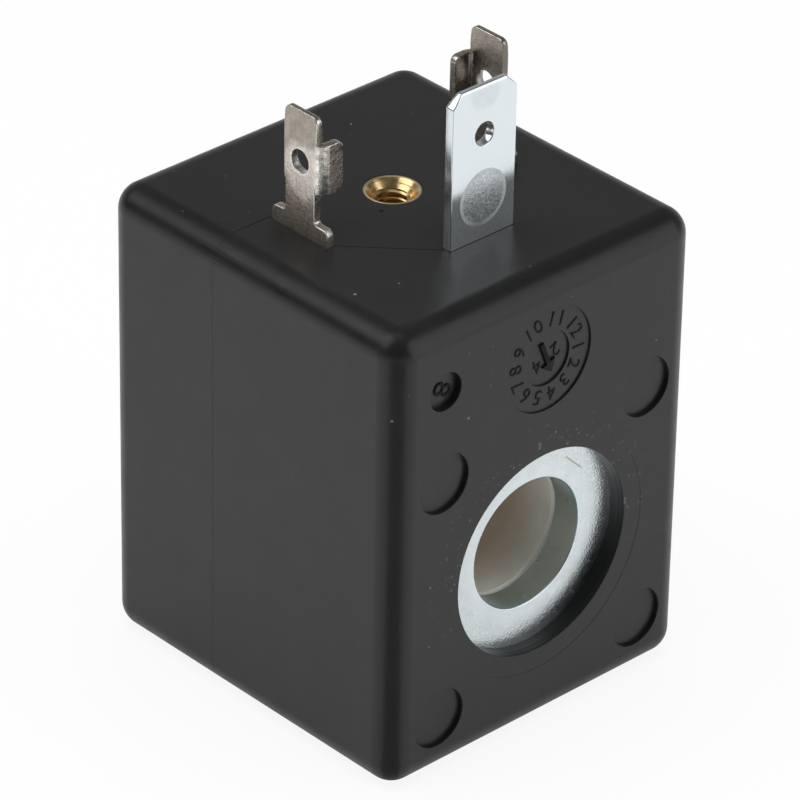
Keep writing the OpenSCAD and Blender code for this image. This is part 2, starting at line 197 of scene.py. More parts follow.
class CoilSizes(bpy.types.PropertyGroup):
    """Sizes of the fine detail"""

    edge_round: size_prop("Edge Round", "Radius on the outer edges of the block", 2.1)
    rim_round: size_prop("Rim Round", "Radius on the rims of the block's recesses", 0.06)
    blade_round: size_prop("Blade Round", "Radius on the edges of the blades", 0.09)
    hole_coin: size_prop("Hole Coining", "Width of the coined rim round a line blade's hole", 0.07)
    hole_d: size_prop("Hole", "Diameter of the hole in a line blade", 1.8)
    hole_height: size_prop("Hole Height", "Height of the hole in a line blade above the block", 5.85)
    bore_round: size_prop("Bore Round", "Radius on the edges of the yoke's bore", 0.12)
    bore_d: size_prop("Bore", "Diameter of the armature bore", 10.4)
    recess_d: size_prop("Recess", "Diameter of the recess round the bore", 16.6)
    wall_line_d: size_prop("Wall Line", "Width of the fine line in the recess wall", 0.06)
    wall_line_depth: size_prop("Wall Line Depth", "Distance of that line behind the front face", 0.55)
    dish: size_prop("Dish", "Rise of the yoke's face from the bore to the wall of the recess", 0.2)
    thread_d: size_prop("Thread", "Outer diameter of the thread in the insert", 3)
    thread_pitch: size_prop("Thread Pitch", "Pitch of the thread in the insert", 0.5)
    thread_depth: size_prop("Thread Depth", "Depth of the thread in the insert", 0.3)
    mouth_round: size_prop("Mouth Round", "Radius on the rims at the top of the insert", 0.07)
    tool_line_d: size_prop("Tool Line", "Width of the line in the insert's mouth", 0.07)
    tool_line_reach: size_prop("Tool Line Reach", "Radius of the line in the insert's mouth", 1.66)
    tool_line_drop: size_prop("Tool Line Drop", "Distance of that line below the top", 0.363)
    dial_drop: size_prop("Dial Drop", "Distance from the top to the middle of the date dial", 6.8)
    dial_depth: size_prop("Dial Depth", "Depth of the date dial, and again of its inner disc", 0.15)
    figure_ring: size_prop("Figure Ring", "Radius on which the dial's figures stand", 3.02)
    figure_height: size_prop("Figure Height", "Height of the dial's figures", 1.15)
    figure_turn: angle_prop("Figure Turn", "Direction of the dial's first figure, clockwise from the top", 93)
    pointer_turn: angle_prop("Pointer Turn", "Direction of the dial's pointer, clockwise from the top", 158)
    shaft_w: size_prop("Shaft Width", "Width of the pointer's shaft", 0.42)
    shaft_l: size_prop("Shaft Length", "Length of the pointer's shaft", 1.9)
    shaft_back: size_prop("Shaft Back", "How far the shaft is moved back from the middle of the dial", 0.45)
    head_l: size_prop("Head Length", "Length of the pointer's head", 0.95)
    beside: size_prop("Beside", "Distance from the pointer to the figure on each side", 0.95)
    relief: size_prop("Relief", "Height of the dial's figures above their floor", 0.06)
    cavity_x: size_prop("Cavity Mark Offset", "Distance of the cavity mark from the middle", -10)
    cavity_drop: size_prop("Cavity Mark Drop", "Distance from the top to the middle of the cavity mark", 5.55)
    cavity_depth: size_prop("Cavity Mark Depth", "Depth of the cavity mark", 0.5)
    cavity_height: size_prop("Cavity Figure", "Height of the figure in the cavity mark", 1.7)
    cavity_relief: size_prop("Cavity Relief", "Height of that figure above its floor", 0.1)
    cavity_turn: angle_prop("Cavity Turn", "Direction of that figure, clockwise from the top", 115)
    seat_d: size_prop("Seat", "Diameter of the shallow seat round the front recess", 20)
    seat_depth: size_prop("Seat Depth", "Depth of the shallow seat round the front recess", 0.015)
    parting_y: size_prop("Parting Line", "Distance of the parting line behind the middle", 3.83)
    parting_w: size_prop("Parting Line Width", "Width of the groove along the lines on the top", 0.08)
    parting_fine: size_prop("Fine Parting Line", "Width of the groove along the line down the sides", 0.025)
    parting_foot: size_prop("Parting Foot", "How far the line on the top runs under a line blade", 2)
    earth_t: size_prop("Earth Blade", "Thickness of the earth blade", 0.8)
    slot_gap: size_prop("Slot Gap", "Gap round the foot of the earth blade", 0.06)
    slot_depth: size_prop("Slot Depth", "Depth of the gap round the foot of the earth blade", 0.3)
    imprint_h: size_prop("Imprint Height", "Height of the earth blade's round imprint above the block", 3.35)
    imprint_d: size_prop("Imprint", "Mean diameter of the round imprint on the earth blade", 4.2)
    imprint_w: size_prop("Imprint Width", "Width of the round imprint's line", 0.28)


class CoilColours(bpy.types.PropertyGroup):
    """Colours of the finishes"""

    plastic: colour_prop("Moulding", "Black plastic of the block", 0.0115, 0.0115, 0.0118)
    dust: colour_prop("Dust", "Specks and scuffs on the block", 0.30, 0.30, 0.29)
    zinc: colour_prop("Zinc", "Zinc plating of the yoke", 0.72, 0.78, 0.80)
    bore_zinc: colour_prop("Bore Zinc", "Bluer plating inside the yoke's bore", 0.66, 0.86, 0.94)
    scratch: colour_prop("Scratch", "Olive scratch on the yoke's front face", 0.34, 0.35, 0.26)
    bright: colour_prop("Bright Zinc", "Bright plating of the earth blade", 0.80, 0.86, 0.89)
    tin: colour_prop("Tin", "Dull tin on the line blades", 0.45, 0.40, 0.34)
    # Pale tin also paints the highlight along the blades' worn edges
    pale_tin: colour_prop("Pale Tin", "Tin round the line blades' holes and on worn edges", 0.93, 0.86, 0.78)
    brass: colour_prop("Brass", "Brass of the insert and under the tin", 0.93, 0.68, 0.34)
    # Pale brass on the rim is partly wear and partly a painted highlight
    pale_brass: colour_prop("Pale Brass", "Worn rim of the insert", 0.95, 0.84, 0.55)
    natural: colour_prop("Natural Plastic", "Translucent plastic of the bobbin and carrier", 0.80, 0.79, 0.71)
    backed: colour_prop("Backed Plastic", "Natural plastic where the winding shows through", 0.66, 0.53, 0.42)
    copper: colour_prop("Copper", "Enamelled copper wire", 0.60, 0.25, 0.11)
    tape: colour_prop("Tape", "Amber tape round the winding", 0.55, 0.30, 0.07)
    solder: colour_prop("Solder", "Solder on the tags", 0.52, 0.53, 0.55)
    paper: colour_prop("Floor", "White paper that the coil stands on", 0.92, 0.92, 0.92)


class CoilStage(bpy.types.PropertyGroup):
    """Camera and light"""

    azimuth: angle_prop("Azimuth", "Direction of the camera round the coil", -43.237)
    elevation: angle_prop("Elevation", "Height of the camera above the horizon", 31.337)
    roll: angle_prop("Roll", "Turn of the camera about its line of sight", 1.062)
    distance: size_prop("Distance", "Distance from the camera to its aim", 429.67)
    aim_height: size_prop("Aim Height", "Height of the camera's aim above the bore", 6.172)
    aim_right: size_prop("Aim Right", "How far the camera stands to the right of its aim", 0.135)
    aim_up: size_prop("Aim Up", "How far the camera stands above its aim", -0.326)
    lens: number_prop("Lens", "Focal length of the camera in millimetres", 263.27)
    left_place: place_prop(
        "Left Softbox Place", "Middle of the raised softbox at the left", -0.274, 0.192, 0.372)
    left_power: power_prop("Left Softbox", "Power of the raised softbox at the left", 0.7)
    right_place: place_prop(
        "Right Softbox Place", "Middle of the low softbox at the right", 0.219, -0.412, 0.179)
    right_power: power_prop("Right Softbox", "Power of the low softbox at the right", 0.75)
    fill_place: place_prop("Fill Place", "Middle of the soft fill overhead", 0.0, 0.0, 0.6)
    fill_power: power_prop("Fill", "Power of the soft fill overhead", 3.2)
    wall_level: share_prop("Walls", "Level of the dim studio walls", 0.07)
    # Level of the sheet of painted shade, seen only in reflections
    flag_level: share_prop("Flag", "Level of the grey card on the floor before the camera", 0.3)
    floor_glow: share_prop("Floor Glow", "Share of plain white in the floor that camera and metal see", 0.9)


def make_active(piece):
    """Selects one object and nothing else"""
    bpy.ops.object.select_all(action="DESELECT")
    piece.select_set(True)
    bpy.context.view_layer.objects.active = piece


@contextmanager
def editing(piece, mode="EDGE"):
    """Opens a piece in edit mode with nothing selected, and closes it again"""
    make_active(piece)
    bpy.ops.object.mode_set(mode="EDIT")
    bpy.ops.mesh.select_mode(type=mode)
    bpy.ops.mesh.select_all(action="DESELECT")
    yield
    bpy.ops.object.mode_set(mode="OBJECT")


def pick(piece, test):
    """Selects the edges of an open piece that pass a test"""
    mesh = bmesh.from_edit_mesh(piece.data)
    for edge in mesh.edges:
        if test(edge):
            edge.select_set(True)
    mesh.select_flush_mode()
    bmesh.update_edit_mesh(piece.data)


def select_all():
    """Selects everything in the open piece"""
    bpy.ops.mesh.select_all(action="SELECT")


def weld():
    """Joins the points of the open piece that lie at one place"""
    select_all()
    bpy.ops.mesh.remove_doubles(threshold=MERGE)


def face_outward():
    """Turns all faces of the open piece outward"""
    select_all()
    bpy.ops.mesh.normals_make_consistent(inside=False)


def on_plane(edge, axis, level):
    """True for an edge that lies in a plane across an axis"""
    return all(abs(vertex.co[axis] - level) < TOUCH for vertex in edge.verts)


def copy_of(node_name, piece_name):
    """Copies a node into a piece with a mesh of its own, and joins its loose triangles into whole faces"""
    make_active(frame["nodes"][node_name])
    bpy.ops.object.duplicate()
    piece = bpy.context.object
    piece.name = piece_name
    piece.data.name = piece_name
    del piece["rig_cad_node"]
    bpy.ops.object.parent_clear(type="CLEAR_KEEP_TRANSFORM")
    bpy.ops.mesh.customdata_custom_splitnormals_clear()
    with editing(piece):
        weld()
        bpy.ops.mesh.dissolve_limited(angle_limit=FLAT_ANGLE)
    return piece


def round_edges(piece, radius, test):
    """Rounds the edges of a piece that pass a test"""
    with editing(piece):
        pick(piece, test)
        bpy.ops.mesh.bevel(offset=radius, segments=ROUND_STEPS, affect="EDGES", clamp_overlap=False)


def apply_modifier(piece, kind, **settings):
    """Adds a modifier with its settings and applies it"""
    make_active(piece)
    modifier = piece.modifiers.new(kind.title(), kind)
    for key, value in settings.items():
        setattr(modifier, key, value)
    bpy.ops.object.modifier_apply(modifier=modifier.name)


def combine(piece, tool, operation):
    """Adds the shape of a tool to a piece or takes it away, and deletes the tool"""
    apply_modifier(piece, "BOOLEAN", operation=operation, solver="EXACT", object=tool)
    bpy.data.objects.remove(tool)


def cut(piece, cutter):
    """Takes the shape of a cutter away from a piece"""
    combine(piece, cutter, "DIFFERENCE")


def smooth(piece):
    """Shades a piece smooth, with its flat faces kept flat"""
    make_active(piece)
    bpy.ops.object.shade_smooth_by_angle(angle=SMOOTH_ANGLE)
    apply_modifier(piece, "WEIGHTED_NORMAL", keep_sharp=True, weight=100)


def settle(piece):
    """Puts a piece's place into its mesh, and hands it over"""
    make_active(piece)
    bpy.ops.object.transform_apply(location=True, rotation=True, scale=True)
    return piece


def joined(pieces, name):
    """Joins pieces into the first of them"""
    make_active(pieces[0])
    for piece in pieces:
        piece.select_set(True)
    bpy.ops.object.join()
    pieces[0].name = name
    return pieces[0]


def finish_piece(piece, material, slot, *nodes):
    """Gives a piece its material and body, and hides the nodes that it stands for. The slot is not used"""
    piece.data.materials.clear()
    piece.data.materials.append(material)
    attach(piece, BODY)
    if nodes:
        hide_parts(*nodes)


def finish_node(node_name, material):
    """Gives a node that keeps its own shape a material"""
    frame["nodes"][node_name].material_slots[0].material = material


def profile(corners):
    """Closed outline through corners, without a face"""
    bpy.ops.mesh.primitive_circle_add(vertices=len(corners), radius=1, fill_type="NGON")
    outline = bpy.context.object
    for vertex, corner in zip(outline.data.vertices, corners):
        vertex.co = corner
    with editing(outline, "FACE"):
        select_all()
        bpy.ops.mesh.delete(type="ONLY_FACE")
    return outline


def disc_cutter(radius, depth):
    """Disc that reaches from in front of the front face to a depth behind it"""
    bpy.ops.mesh.primitive_cylinder_add(
        vertices=ROUND_SIDES, radius=radius, depth=2 * depth,
        location=(0, FRONT, 0), rotation=(math.pi / 2, 0, 0))
    return settle(bpy.context.object)


def ring_cutter(radius, thickness, sides, place, turn=0):
    """Thin ring that leaves a fine round line"""
    bpy.ops.mesh.primitive_torus_add(
        major_segments=sides, minor_segments=6, major_radius=radius, minor_radius=thickness / 2,
        location=place, rotation=(turn, 0, 0))
    return settle(bpy.context.object)


def groove_cutter(points, width):
    """Thin round rod along a line of points"""
    curve = bpy.data.curves.new("groove", "CURVE")
    curve.dimensions = "3D"
    curve.bevel_depth = width / 2
    curve.bevel_resolution = 1
    curve.use_fill_caps = True
    spline = curve.splines.new("POLY")
    spline.points.add(len(points) - 1)
    for point, place in zip(spline.points, points):
        point.co = (*place, 1)
    cutter = bpy.data.objects.new("groove", curve)
    bpy.context.collection.objects.link(cutter)
    make_active(cutter)
    bpy.ops.object.convert(target="MESH")
    return bpy.context.object


class Nodes:
    """Node tree in the making: a value that is a socket is linked, any other is set"""

    def __init__(self, tree):
        self.tree = tree

    def put(self, socket, value):
        """Links or sets one socket"""
        if isinstance(value, bpy.types.NodeSocket):
            self.tree.links.new(value, socket)
        else:
            socket.default_value = value

    def node(self, kind, inputs=None, **settings):
        """Adds a node with its settings and inputs"""
        node = self.tree.nodes.new("ShaderNode" + kind)
        for key, value in settings.items():
            setattr(node, key, value)
        for key, value in (inputs or {}).items():
            self.put(node.inputs[key], value)
        return node

    def math(self, operation, *values):
        """Result of an operation on values"""
        return self.node("Math", dict(enumerate(values)), operation=operation).outputs[0]

    def times(self, first, *others):
        """Product of values"""
        for other in others:
            first = self.math("MULTIPLY", first, other)
        return first

    def plus(self, first, *others):
        """Sum of values"""
        for other in others:
            first = self.math("ADD", first, other)
        return first

    def inverse(self, value):
        """One divided by a value, to turn a size into a texture's scale"""
        return self.math("DIVIDE", 1.0, value)

    def vector(self, operation, *values):
        """Result of an operation on vectors"""
        outputs = self.node("VectorMath", dict(enumerate(values)), operation=operation).outputs
        return outputs["Value" if operation in ("LENGTH", "DOT_PRODUCT") else "Vector"]

    def parts(self, vector):
        """X, Y and Z of a vector"""
        return self.node("SeparateXYZ", {"Vector": vector}).outputs

    def mapped(self, vector, kind="POINT", **inputs):
        """Moves, turns or stretches a vector"""
        return self.node("Mapping", {"Vector": vector, **inputs}, vector_type=kind).outputs[0]

    def ranged(self, value, low, high, to_low=0.0, to_high=1.0):
        """Maps a value's range onto another, and holds it there"""
        inputs = {"Value": value, "From Min": low, "From Max": high, "To Min": to_low, "To Max": to_high}
        return self.node("MapRange", inputs).outputs["Result"]

    def noise(self, vector, scale, detail=2.0, roughness=0.5):
        """Cloudy noise"""
        inputs = {"Vector": vector, "Scale": scale, "Detail": detail, "Roughness": roughness}
        return self.node("TexNoise", inputs).outputs["Fac"]

    def mixed(self, share, first, second):
        """Mixes two colours by a share that changes over the surface"""
        node = self.node("Mix", data_type="RGBA")
        sockets = {socket.identifier: socket for socket in (*node.inputs, *node.outputs)}
        for label, value in (("Factor_Float", share), ("A_Color", first), ("B_Color", second)):
            self.put(sockets[label], value)
        return sockets["Result_Color"]


def new_group(name, output, **inputs):
    """Starts a shader group with a vector and named values as inputs, and one output"""
    tree = bpy.data.node_groups.new(name, "ShaderNodeTree")
    tree.interface.new_socket("Vector", in_out="INPUT", socket_type="NodeSocketVector")
    for label, default in inputs.items():
        socket = tree.interface.new_socket(label.title(), in_out="INPUT", socket_type="NodeSocketFloat")
        socket.default_value = default
    tree.interface.new_socket(output, in_out="OUTPUT", socket_type="NodeSocketFloat")
    entry = tree.nodes.new("NodeGroupInput").outputs
    return Nodes(tree), entry, tree.nodes.new("NodeGroupOutput").inputs[output]


def mottle_group():
    """Cloudy change of tone, between two values"""
    nodes, entry, out = new_group("Mottle", "Value", size=MM, detail=5.0, low=0.0, high=1.0)
    cloud = nodes.noise(entry["Vector"], nodes.inverse(entry["Size"]), entry["Detail"], roughness=0.6)
    nodes.put(out, nodes.ranged(cloud, 0.32, 0.68, entry["Low"], entry["High"]))
    return nodes.tree


def speck_group():
    """Scattered small specks with uneven outlines"""
    nodes, entry, out = new_group("Specks", "Mask", spacing=MM, reach=0.1)
    scale = nodes.inverse(entry["Spacing"])
    wobble = nodes.noise(entry["Vector"], nodes.times(scale, 9.0))
    cells = nodes.node("TexVoronoi", {"Vector": entry["Vector"], "Scale": scale}).outputs
    tone = nodes.node("SeparateColor", {"Color": cells["Color"]}).outputs["Red"]
    reach = nodes.times(nodes.math("POWER", tone, 6.0), entry["Reach"], wobble)
    nodes.put(out, nodes.math("LESS_THAN", cells["Distance"], reach))
    return nodes.tree


def scuff_group():
    """Fine scratches that run two ways, in patches"""
    nodes, entry, out = new_group("Scuffs", "Mask", size=MM, cover=0.5)
    scale = nodes.inverse(entry["Size"])
    lines = []
    for turn in ((0.3, 0.5, 0.9), (1.4, 0.2, 2.2)):
        stretched = nodes.mapped(entry["Vector"], Rotation=turn, Scale=(1.0, 1.0, 0.06))
        lines.append(nodes.ranged(nodes.noise(stretched, nodes.times(scale, 8.0)), 0.66, 0.74))
    patches = nodes.ranged(nodes.noise(entry["Vector"], nodes.times(scale, 0.4)), 0.45, 0.65)
    nodes.put(out, nodes.times(nodes.math("MAXIMUM", *lines), patches, entry["Cover"]))
    return nodes.tree


def edge_group():
    """Line along the rounded edges of a piece whose faces are square to its axes, for wear and a painted
    highlight
    """
    nodes, entry, out = new_group("Edge Wear And Highlight", "Mask", size=0.1 * MM)
    slopes = nodes.parts(nodes.vector("ABSOLUTE", nodes.node("TexCoord").outputs["Normal"]))
    most = nodes.math("MAXIMUM", nodes.math("MAXIMUM", slopes["X"], slopes["Y"]), slopes["Z"])
    uneven = nodes.noise(entry["Vector"], nodes.inverse(entry["Size"]), detail=3.0)
    nodes.put(out, nodes.times(nodes.ranged(most, 0.985, 0.88), nodes.ranged(uneven, 0.3, 0.55)))
    return nodes.tree


GROUP_MAKERS = {"Mottle": mottle_group, "Specks": speck_group, "Scuffs": scuff_group, "Edge Wear And Highlight": edge_group}


def opaque(colour, level):
    """Colour with its alpha, at a level of its brightness"""
    return (*(min(1.0, channel * level) for channel in colour), 1.0)


class Finish(Nodes):
    """Material in the making: tone and bump in layers, with the sizes of textures and bumps in millimetres"""

    def __init__(self, name):
        self.material = bpy.data.materials.new(name)
        self.material.use_nodes = True
        super().__init__(self.material.node_tree)
        self.shader = self.tree.nodes["Principled BSDF"]
        self.place = self.node("TexCoord").outputs["Object"]
        self.tone = None
        self.normal = None

    def along(self, axis):
        """Place on the piece along an axis"""
        return self.parts(self.place)[axis]

    def group(self, name, vector=None, **inputs):
        """Places a shared group, and builds it the first time"""
        node = self.node("Group", node_tree=bpy.data.node_groups.get(name) or GROUP_MAKERS[name]())
        for key, value in {"vector": vector or self.place, **inputs}.items():
            self.put(node.inputs[key.title()], value)
        return node.outputs[0]

    def mottle(self, size, low=0.0, high=1.0, detail=5.0, vector=None):
        """Cloudy change between two values"""
        return self.group("Mottle", vector, size=size * MM, low=low, high=high, detail=detail)

    def specks(self, spacing, reach):
        """Scattered specks"""
        return self.group("Specks", spacing=spacing * MM, reach=reach)

    def scuffs(self, size, cover):
        """Fine scratches in patches"""
        return self.group("Scuffs", size=size * MM, cover=cover)

    def worn(self, size):
        """Worn edges, which also carry a painted highlight"""
        return self.group("Edge Wear And Highlight", size=size * MM)

    def bands(self, size, distortion, detail):
        """Fine bands that follow each other along Y"""
        inputs = {"Vector": self.place, "Scale": 1 / (size * MM), "Distortion": distortion, "Detail": detail}
        return self.node("TexWave", inputs, bands_direction="Y").outputs["Fac"]

    def reach(self, centre, axis):
        """Distance from a line through a centre along an axis"""
        across = [0.0 if index == axis else 1.0 for index in range(3)]
        offset = self.vector("MULTIPLY", self.vector("SUBTRACT", self.place, centre), across)
        return self.vector("LENGTH", offset)

    def start(self, colour, mask, low, high):
        """Starts the tone with a colour that changes between two levels"""
        self.tone = self.mixed(mask, opaque(colour, low), opaque(colour, high))

    def cover(self, colour, mask, share=1.0, level=1.0):
        """Lays a colour over the tone by a share of a mask"""
        if share < 1:
            mask = self.times(mask, share)
        self.tone = self.mixed(mask, self.tone, opaque(colour, level))

    def bump(self, height, depth):
        """Lays a bump of a depth over those before it"""
        inputs = {"Height": height, "Distance": depth * MM}
        if self.normal:
            inputs["Normal"] = self.normal
        self.normal = self.node("Bump", inputs).outputs["Normal"]

    def done(self, rough, **others):
        """Puts everything on the shader and hands over the material"""
        inputs = {"Base Color": self.tone, "Roughness": rough, "Normal": self.normal, **others}
        for key, value in inputs.items():
            self.put(self.shader.inputs[key], value)
        return self.material


def moulding_material(colours):
    """Satin black plastic with dust and scuffs, rubbed round the bore at the front"""
    skin = Finish("moulded_black")
    scuffs = skin.scuffs(size=1.4, cover=0.35)
    near_bore = skin.ranged(skin.reach(BORE_AXIS, Y_AXIS), 12 * MM, 8.5 * MM)
    upper = skin.ranged(skin.along("Z"), -5 * MM, 4 * MM, 0.1, 1.0)
    at_front = skin.ranged(skin.along("Y"), FRONT + 0.4 * MM, FRONT)
    rubbed = skin.times(near_bore, upper, at_front, skin.mottle(2.5), skin.specks(spacing=0.28, reach=1.1))
    skin.start(colours.plastic, skin.mottle(9), 0.88, 1.12)
    skin.cover(colours.dust, scuffs, share=0.25, level=0.5)
    skin.cover(colours.dust, rubbed, share=0.5)
    skin.cover(colours.dust, skin.specks(spacing=1.1, reach=0.22), share=0.55)
    skin.bump(skin.mottle(1.6), 0.004)
    skin.bump(skin.mottle(0.12), 0.0012)
    rough = skin.plus(skin.mottle(2.2, low=0.30, high=0.39), skin.times(scuffs, 0.25))
    return skin.done(rough, IOR=1.43)


def figure_material(colours):
    """Same plastic with a matt skin, its colour darkened below the smooth floor that carries the figures:
    painted shade on the strokes
    """
    skin = Finish("moulded_figures")
    # Painted shade: the figures take a darker copy of the block's plastic colour
    skin.start(colours.plastic, skin.mottle(0.8), 0.5, 0.9)
    skin.bump(skin.mottle(0.1), 0.002)
    return skin.done(skin.mottle(0.4, low=0.50, high=0.65), IOR=1.25)


def zinc_material(colours):
    """Zinc plating on rolled steel: grainy away from the bore, bluer in it, with a scratch at the front"""
    skin = Finish("zinc_plating")
    reach = skin.reach(BORE_AXIS, Y_AXIS)
    grain = skin.times(skin.mottle(0.15, detail=1.0), skin.ranged(reach, 5.8 * MM, 6.8 * MM, 0.2, 1.0))
    line = skin.mapped(skin.place, "TEXTURE", Location=SCRATCH_PLACE, Rotation=SCRATCH_TURN)
    line = skin.parts(skin.vector("ABSOLUTE", line))
    scratch = skin.times(
        skin.ranged(line["X"], 1.4 * MM, 0.9 * MM), skin.ranged(line["Z"], 0.09 * MM, 0.05 * MM),
        skin.ranged(skin.along("Y"), 0.0, -1 * MM))
    skin.start(colours.zinc, skin.mottle(1.5), 0.96, 1.05)
    skin.cover(colours.zinc, grain, share=0.3, level=0.6)
    skin.cover(colours.zinc, skin.scuffs(size=0.8, cover=0.6), share=0.2, level=0.6)
    skin.cover(colours.bore_zinc, skin.ranged(reach, 5.30 * MM, 5.22 * MM))
    skin.cover(colours.scratch, scratch, share=0.75)
    skin.bump(grain, 0.007)
    return skin.done(skin.mottle(0.5, low=0.20, high=0.28), Metallic=1.0)


def bright_material(colours, sizes):
    """Bright plating with rolling lines, a smudge at the tip and a matt round imprint at the front"""
    skin = Finish("bright_plating")
    middle = sizes.imprint_d / 2
    width = sizes.imprint_w
    reach = skin.reach((0, EARTH_LOW.y, TOP + sizes.imprint_h), Y_AXIS)
    away = skin.math("ABSOLUTE", skin.math("SUBTRACT", reach, middle))
    patchy = skin.mottle(0.9, low=0.35)
    at_front = skin.ranged(skin.along("Y"), EARTH_LOW.y + 0.3 * MM, EARTH_LOW.y + 0.1 * MM)
    imprint = skin.times(skin.ranged(away, width * 0.6, width * 0.4), patchy, at_front)
    inside = skin.times(skin.ranged(reach, middle + width * 0.5, middle), at_front)
    tip = skin.reach((0, EARTH_LOW.y, EARTH_HIGH.z - 0.5 * MM), Y_AXIS)
    smudged = skin.times(skin.ranged(tip, 1.6 * MM, 1.2 * MM), patchy)
    lines = skin.mottle(0.12, vector=skin.mapped(skin.place, Scale=(1.0, 1.0, 0.04)))
    grain = skin.times(skin.mottle(0.13, detail=1.0), inside)
    uneven = skin.times(skin.mottle(0.22, detail=2.0), inside)
    skin.start(colours.bright, skin.times(lines, 0.2), 1.0, 0.86)
    skin.cover(colours.bright, grain, share=0.4, level=0.5)
    skin.cover(colours.bright, imprint, share=0.35, level=0.75)
    skin.cover(colours.bright, smudged, share=0.3, level=0.6)
    skin.bump(lines, 0.0015)
    skin.bump(grain, 0.004)
    matt = skin.plus(skin.times(inside, 0.03), skin.times(imprint, 0.4), skin.times(uneven, 0.22))
    return skin.done(skin.plus(skin.mottle(2.5, low=0.09, high=0.14), matt), Metallic=0.92)


def tin_material(colours, sizes):
    """Dull tin over brass: streaky, paler round the hole, shiny on worn edges that carry a painted highlight,
    with painted shade inside the fold
    """
    skin = Finish("dull_tin")
    x = skin.along("X")
    hole = Vector((0, BLADE_TURN.y, TOP + sizes.hole_height))
    reach = skin.reach(hole, X_AXIS)
    patch = skin.reach(hole - Vector((0, 0.4 * MM, 0.7 * MM)), X_AXIS)
    cloud = skin.mottle(0.9)
    fine = skin.mottle(0.12)
    worn = skin.worn(0.5)
    streaks = skin.mottle(0.22, vector=skin.mapped(skin.place, Scale=(1.0, 1.0, 0.12)))
    pale = skin.ranged(skin.plus(patch, skin.times(cloud, 0.8 * MM)), 2.9 * MM, 2.2 * MM)
    facing = skin.parts(skin.node("TexCoord").outputs["Normal"])["Y"]
    painted_fold_shade = skin.ranged(skin.times(x, facing), -2 * MM, -6 * MM)
    skin.start(colours.tin, cloud, 0.75, 1.1)
    skin.cover(colours.pale_tin, pale, share=0.8)
    skin.cover(colours.tin, streaks, share=0.35, level=0.65)
    skin.cover(colours.tin, fine, share=0.15, level=0.7)
    skin.cover(colours.tin, skin.scuffs(size=0.5, cover=0.9), share=0.35, level=0.55)
    skin.cover(colours.tin, skin.specks(spacing=0.2, reach=0.8), share=0.6, level=0.4)
    skin.cover(colours.pale_tin, skin.ranged(reach, 1.12 * MM, 1.02 * MM), share=0.5, level=1.2)
    skin.cover(colours.brass, skin.ranged(reach, 0.95 * MM, 0.9 * MM), share=0.12)
    # Painted highlight: the worn edges are lightened beyond their wear, as if they caught the light
    skin.cover(colours.pale_tin, worn, share=0.9, level=1.2)
    # Painted shade: the inner side of each blade's fold is darkened
    skin.cover(colours.tin, painted_fold_shade, share=0.75, level=0.3)
    skin.bump(skin.times(skin.mottle(0.35), skin.ranged(x, -2 * MM, 2 * MM, 1.0, 0.35)), 0.016)
    skin.bump(streaks, 0.005)
    skin.bump(fine, 0.004)
    rough = skin.math("SUBTRACT", skin.mottle(0.4, low=0.20, high=0.34), skin.times(worn, 0.1))
    above_foot = skin.ranged(skin.along("Z"), TOP + 1 * MM, TOP + 4 * MM, 0.75, 1.0)
    return skin.done(rough, Metallic=skin.times(skin.mottle(0.7, low=0.88), above_foot))


def brass_material(colours):
    """Turned brass with fine rings, and a paler rim that is partly worn and partly a painted highlight"""
    skin = Finish("turned_brass")
    rim = skin.ranged(skin.reach((INSERT_X, INSERT_Y, 0), Z_AXIS), 1.92 * MM, 2.02 * MM)
    skin.start(colours.brass, skin.mottle(0.7), 0.9, 1.1)
    # Painted highlight: the rounded rim is paled beyond its wear, as if it caught the light
    skin.cover(colours.pale_brass, rim, share=0.7)
    skin.bump(skin.mottle(0.09, vector=skin.mapped(skin.place, Scale=(0.1, 0.1, 1.0))), 0.004)
    rough = skin.plus(skin.mottle(0.8, low=0.18, high=0.26), skin.times(rim, 0.25))
    return skin.done(rough, Metallic=1.0)


def natural_material(colours):
    """Translucent natural plastic, browner where the winding shows through"""
    skin = Finish("natural_plastic_finish")
    depth = skin.math("ABSOLUTE", skin.along("Y"))
    skin.start(colours.natural, skin.mottle(1.8), 0.94, 1.06)
    skin.cover(colours.backed, skin.ranged(depth, WINDING_HIGH.y, WINDING_HIGH.y - 3 * MM), share=0.8)
    skin.bump(skin.mottle(0.2), 0.002)
    return skin.done(skin.mottle(0.6, low=0.32, high=0.45))


def winding_material(colours):
    """Enamelled copper wire, laid in fine turns side by side"""
    skin = Finish("enamelled_copper")
    turns = skin.bands(3, distortion=0.4, detail=1.0)
    skin.start(colours.copper, skin.mottle(2), 0.75, 1.1)
    # Painted shade: the grooves between the turns are darkened
    skin.cover(colours.copper, skin.ranged(turns, 0.35, 0.0), level=0.25)
    skin.bump(turns, 0.08)
    return skin.done(skin.mottle(0.5, low=0.22, high=0.34), Metallic=0.85)


def tape_material(colours):
    """Amber tape with a fine weave and cloudy glue"""
    skin = Finish("amber_tape")
    weave = skin.bands(2, distortion=0.6, detail=2.0)
    skin.start(colours.tape, skin.mottle(2.5), 0.8, 1.15)
    skin.cover(colours.tape, weave, share=0.2, level=0.6)
    skin.bump(weave, 0.01)
    return skin.done(skin.mottle(0.7, low=0.28, high=0.42))


def solder_material(colours):
    """Cooled solder with a grainy skin"""
    skin = Finish("cooled_solder")
    cloud = skin.mottle(0.5)
    skin.start(colours.solder, cloud, 0.75, 1.2)
    skin.bump(cloud, 0.02)
    return skin.done(skin.mottle(0.3, low=0.22, high=0.45), Metallic=1.0)


def bare_material(name):
    """Material without a shader, and its nodes"""
    material = bpy.data.materials.new(name)
    material.use_nodes = True
    material.node_tree.nodes.clear()
    return material, Nodes(material.node_tree)


